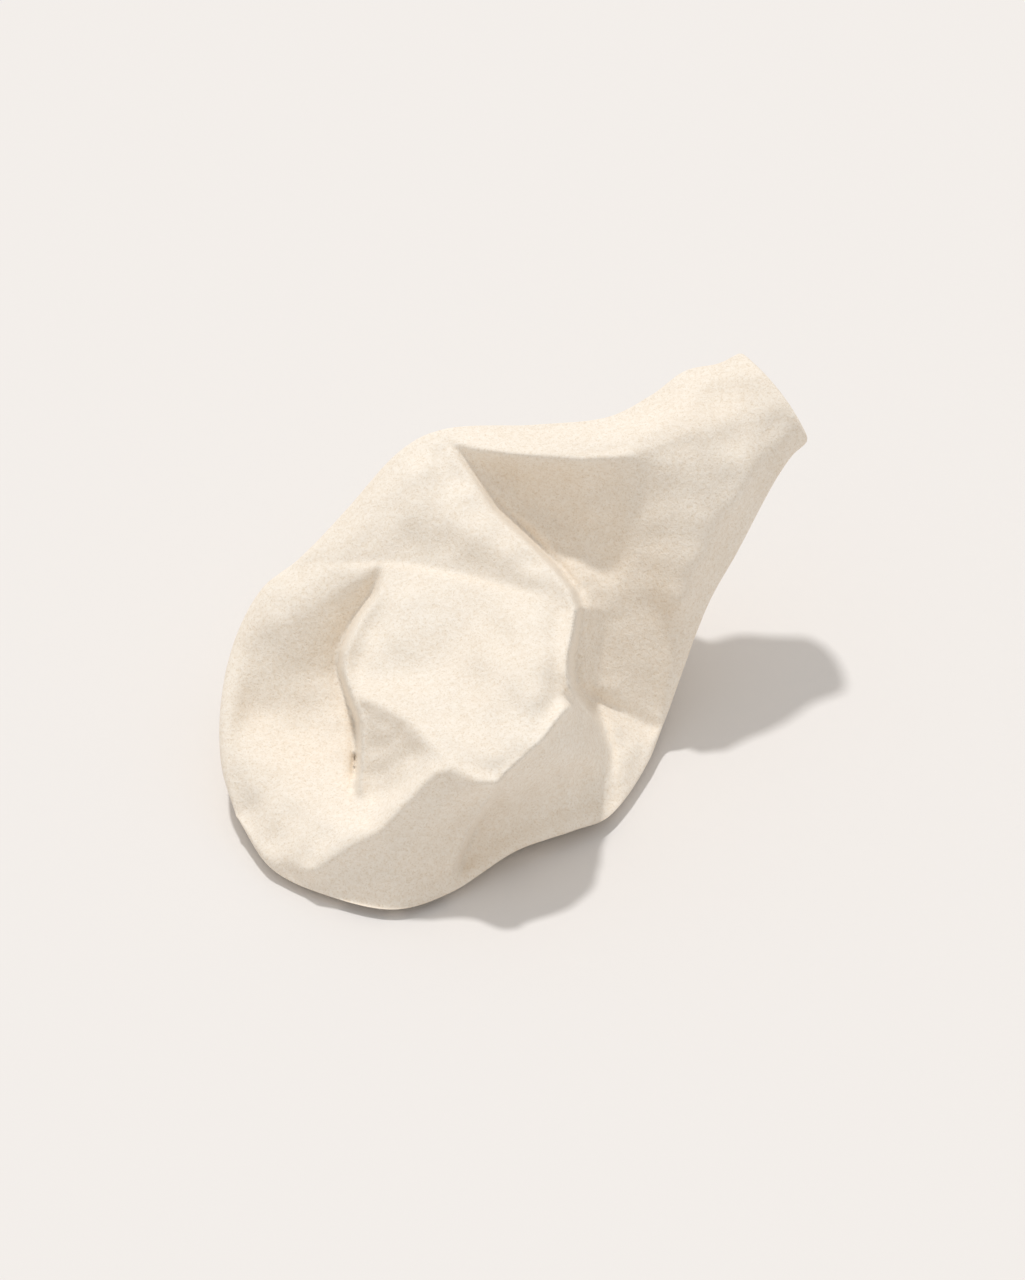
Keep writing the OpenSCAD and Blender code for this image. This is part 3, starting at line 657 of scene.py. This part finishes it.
def new_finish(name):
    """An empty node material with its shader and output."""
    finish = bpy.data.materials.new(name)
    finish.use_nodes = True
    finish.node_tree.nodes.clear()
    output = finish.node_tree.nodes.new("ShaderNodeOutputMaterial")
    shader = finish.node_tree.nodes.new("ShaderNodeBsdfPrincipled")
    finish.node_tree.links.new(shader.outputs[0], output.inputs[0])
    return finish, shader


def linear(colour):
    """A colour written as it shows on screen, 0 to 255, as linear values by the standard screen curve."""
    shown = np.array(colour) / 255
    values = np.where(shown <= 0.04045, shown / 12.92, ((shown + 0.055) / 1.055) ** 2.4)
    return (*values.tolist(), 1)


def pattern(finish, kind, scale, **settings):
    """A noise or cell pattern on the piece's own coordinates, with a scale per metre."""
    nodes, links = finish.node_tree.nodes, finish.node_tree.links
    place = nodes.new("ShaderNodeTexCoord")
    texture = nodes.new(kind)
    links.new(place.outputs["Object"], texture.inputs["Vector"])
    texture.inputs["Scale"].default_value = scale
    for key, value in settings.items():
        texture.inputs[key].default_value = value
    return texture


def ramp(finish, value, stop_shares, low, high):
    """The low colour up to the first stop, the high one from the second, and a mix between them."""
    node = finish.node_tree.nodes.new("ShaderNodeValToRGB")
    for k, colour in enumerate((low, high)):
        node.color_ramp.elements[k].position = stop_shares[k]
        node.color_ramp.elements[k].color = linear(colour)
    finish.node_tree.links.new(value, node.inputs["Fac"])
    return node.outputs["Color"]


def multiplied(finish, colour, factor, amount=None):
    """A colour times another one, in full or by an amount. The node's colours are sockets 6, 7 and 2."""
    nodes, links = finish.node_tree.nodes, finish.node_tree.links
    node = nodes.new("ShaderNodeMix")
    node.data_type = "RGBA"
    node.blend_type = "MULTIPLY"
    node.inputs["Factor"].default_value = 1
    if amount is not None:
        links.new(amount, node.inputs["Factor"])
    links.new(colour, node.inputs[6])
    links.new(factor, node.inputs[7])
    return node.outputs[2]


def bump(finish, height, distance, strength, normal=None):
    """A bump from a height, on top of another one where there is one."""
    nodes, links = finish.node_tree.nodes, finish.node_tree.links
    node = nodes.new("ShaderNodeBump")
    node.inputs["Strength"].default_value = strength
    node.inputs["Distance"].default_value = distance
    links.new(height, node.inputs["Height"])
    if normal is not None:
        links.new(normal, node.inputs["Normal"])
    return node.outputs["Normal"]


def grogged_clay():
    """Unglazed off-white stoneware: soft tones, fine grog, a crumbly dry surface with painted shade in its
    hollows, and a few pinholes.
    """
    finish, shader = new_finish("grogged_clay")
    links = finish.node_tree.links
    tone = pattern(finish, "ShaderNodeTexNoise", tone_scale, Detail=4, Roughness=0.6)
    base = ramp(finish, tone.outputs["Fac"], tone_stop_shares, clay_warm, clay_light)
    grain = pattern(finish, "ShaderNodeTexNoise", grain_scale, Detail=3, Roughness=0.6)
    speck = ramp(finish, grain.outputs["Fac"], grain_stop_shares, grog_dark, white)
    colour = multiplied(finish, base, speck)
    holes = pattern(finish, "ShaderNodeTexVoronoi", pinhole_scale)
    hole = ramp(finish, holes.outputs["Distance"], pinhole_stop_shares, pinhole_tone, white)
    few = ramp(finish, holes.outputs["Color"], few_stop_shares, white, black)
    colour = multiplied(finish, colour, hole, few)
    # The crumb's low places, which the bump below sinks, are drawn darker: painted shade in the fine cracks,
    # with the clay's own tone that differs at random
    rough = pattern(finish, "ShaderNodeTexNoise", crumb_scale, Detail=3, Roughness=0.55, Distortion=0.6)
    crumb_and_crack_shade = ramp(finish, rough.outputs["Fac"], crumb_stop_shares, crumb_tone_and_crack_shade, white)
    colour = multiplied(finish, colour, crumb_and_crack_shade)
    links.new(colour, shader.inputs["Base Color"])
    normal = bump(finish, rough.outputs["Fac"], crumb_depth, strength=0.6)
    normal = bump(finish, grain.outputs["Fac"], grain_depth, strength=0.35, normal=normal)
    links.new(normal, shader.inputs["Normal"])
    shader.inputs["Roughness"].default_value = 0.88
    shader.inputs["Specular IOR Level"].default_value = 0.25
    return finish


def clear_glaze():
    """Clear satin glaze as it looks on the clay inside: a little darker, glossy, with a faint ripple."""
    finish, shader = new_finish("clear_glaze")
    links = finish.node_tree.links
    pool = pattern(finish, "ShaderNodeTexNoise", pool_scale, Detail=3, Roughness=0.5)
    base = ramp(finish, pool.outputs["Fac"], pool_stop_shares, glaze_deep, glaze_light)
    links.new(base, shader.inputs["Base Color"])
    links.new(bump(finish, pool.outputs["Fac"], pool_depth, strength=0.4), shader.inputs["Normal"])
    shader.inputs["Roughness"].default_value = 0.3
    shader.inputs["Coat Weight"].default_value = 0.5
    shader.inputs["Coat Roughness"].default_value = 0.15
    return finish


def pressed_felt():
    """Pressed wool felt: short crossed fibres in two tones, with a soft sheen."""
    finish, shader = new_finish("pressed_felt")
    links = finish.node_tree.links
    fibres = pattern(finish, "ShaderNodeTexNoise", fibre_scale, Detail=5, Roughness=0.8, Distortion=1.5)
    base = ramp(finish, fibres.outputs["Fac"], fibre_stop_shares, felt_deep, felt_light)
    links.new(base, shader.inputs["Base Color"])
    links.new(bump(finish, fibres.outputs["Fac"], fibre_depth, strength=0.7), shader.inputs["Normal"])
    shader.inputs["Roughness"].default_value = 0.95
    shader.inputs["Sheen Weight"].default_value = 0.3
    shader.inputs["Sheen Roughness"].default_value = 0.5
    return finish


def put_on(piece, node, finish):
    """A piece that stands for a node of the frame, with its finish."""
    piece.data.materials.append(finish)
    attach(piece, "root")
    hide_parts(node)


put_on(clay_body, "vessel_body", grogged_clay())
put_on(glaze_skin, "liner_glaze", clear_glaze())
felt_finish = pressed_felt()
draw = np.random.default_rng(pad_seed)
for node, place_shares in pad_places_shares.items():
    disc = disc_rings(draw)
    middle = np.array(place_shares) * form_width
    disc += [*middle, -pad_thickness]
    pad = closed_mesh(node.replace("felt_pad", "pad"), [*middle, -pad_thickness], disc, [*middle, 0])
    put_on(pad, node, felt_finish)

# Size of the floor, distance and reach of the view in metres, and spread of the lamp in degrees
floor_size = 8
floor_colour = (0.782, 0.755, 0.732)
backdrop_colour = (0.88, 0.85, 0.825)
sky_colour = (1, 0.985, 0.97)
sky_strength = 0.67
key_way = (0.16, -0.336, -1)
key_strength = 1.6
key_softness = 4
view_distance = 6
view_reach = 32

# Height over the sketch plane that the camera aims at, and the height of the sensor, in millimetres
view_height = 60
sensor_height = 24


def floor_and_world():
    """A wide pale floor that takes the shadow, under an even sky.

    The camera, and rays that bounce off gloss or pass through glass, see a pale backdrop and not the sky.
    """
    half = floor_size / 2
    corners = [(-half, -half, 0), (half, -half, 0), (half, half, 0), (-half, half, 0)]
    mesh = bpy.data.meshes.new("floor")
    mesh.from_pydata(corners, [], [(0, 1, 2, 3)])
    floor = bpy.data.objects.new("floor", mesh)
    bpy.context.scene.collection.objects.link(floor)
    finish, shader = new_finish("pale_floor")
    shader.inputs["Base Color"].default_value = (*floor_colour, 1)
    shader.inputs["Roughness"].default_value = 1
    shader.inputs["Specular IOR Level"].default_value = 0
    mesh.materials.append(finish)
    world = bpy.data.worlds.new("studio")
    bpy.context.scene.world = world
    world.use_nodes = True
    nodes, links = world.node_tree.nodes, world.node_tree.links
    nodes.clear()
    output = nodes.new("ShaderNodeOutputWorld")
    sky, seen, choice, path = (nodes.new(kind) for kind in (
        "ShaderNodeBackground", "ShaderNodeBackground", "ShaderNodeMixShader", "ShaderNodeLightPath"))
    sky.inputs["Color"].default_value = (*sky_colour, 1)
    sky.inputs["Strength"].default_value = sky_strength
    seen.inputs["Color"].default_value = (*backdrop_colour, 1)
    seen_rays = path.outputs["Is Camera Ray"]
    for ray in ("Is Glossy Ray", "Is Transmission Ray"):
        either = nodes.new("ShaderNodeMath")
        either.operation = "MAXIMUM"
        links.new(seen_rays, either.inputs[0])
        links.new(path.outputs[ray], either.inputs[1])
        seen_rays = either.outputs[0]
    links.new(seen_rays, choice.inputs[0])
    links.new(sky.outputs[0], choice.inputs[1])
    links.new(seen.outputs[0], choice.inputs[2])
    links.new(choice.outputs[0], output.inputs[0])


def far_light(name, way, strength, softness):
    """A lamp so far away that its rays run one way, spread over an angle of softness degrees."""
    lamp = bpy.data.lights.new(name, "SUN")
    lamp.energy = strength
    lamp.angle = math.radians(softness)
    holder = bpy.data.objects.new(name, lamp)
    bpy.context.scene.collection.objects.link(holder)
    holder.rotation_euler = Vector(way).to_track_quat("-Z", "Y").to_euler()


def photo_camera():
    """A long lens square to the sketch plane, framed as the photograph is."""
    camera = bpy.data.cameras.new("camera")
    x, y = sketch_xy(view_middle_pixels)
    target = (in_room(x, y, view_height) - [centre_x, centre_y, -pad_thickness]) / mm_per_metre
    back = Vector((0, -lean_cos, lean_sin))
    camera.sensor_fit = "VERTICAL"
    camera.sensor_height = sensor_height
    camera.lens = sensor_height * view_distance * mm_per_metre / (view_height_pixels * mm_per_pixel)
    camera.clip_end = view_reach
    holder = bpy.data.objects.new("camera", camera)
    holder.location = Vector(target.tolist()) + back * view_distance
    holder.rotation_euler = (-back).to_track_quat("-Z", "Y").to_euler()
    bpy.context.scene.collection.objects.link(holder)
    bpy.context.scene.camera = holder


floor_and_world()
far_light("key_light", key_way, key_strength, key_softness)
photo_camera()
bpy.context.scene.view_settings.view_transform = "Standard"
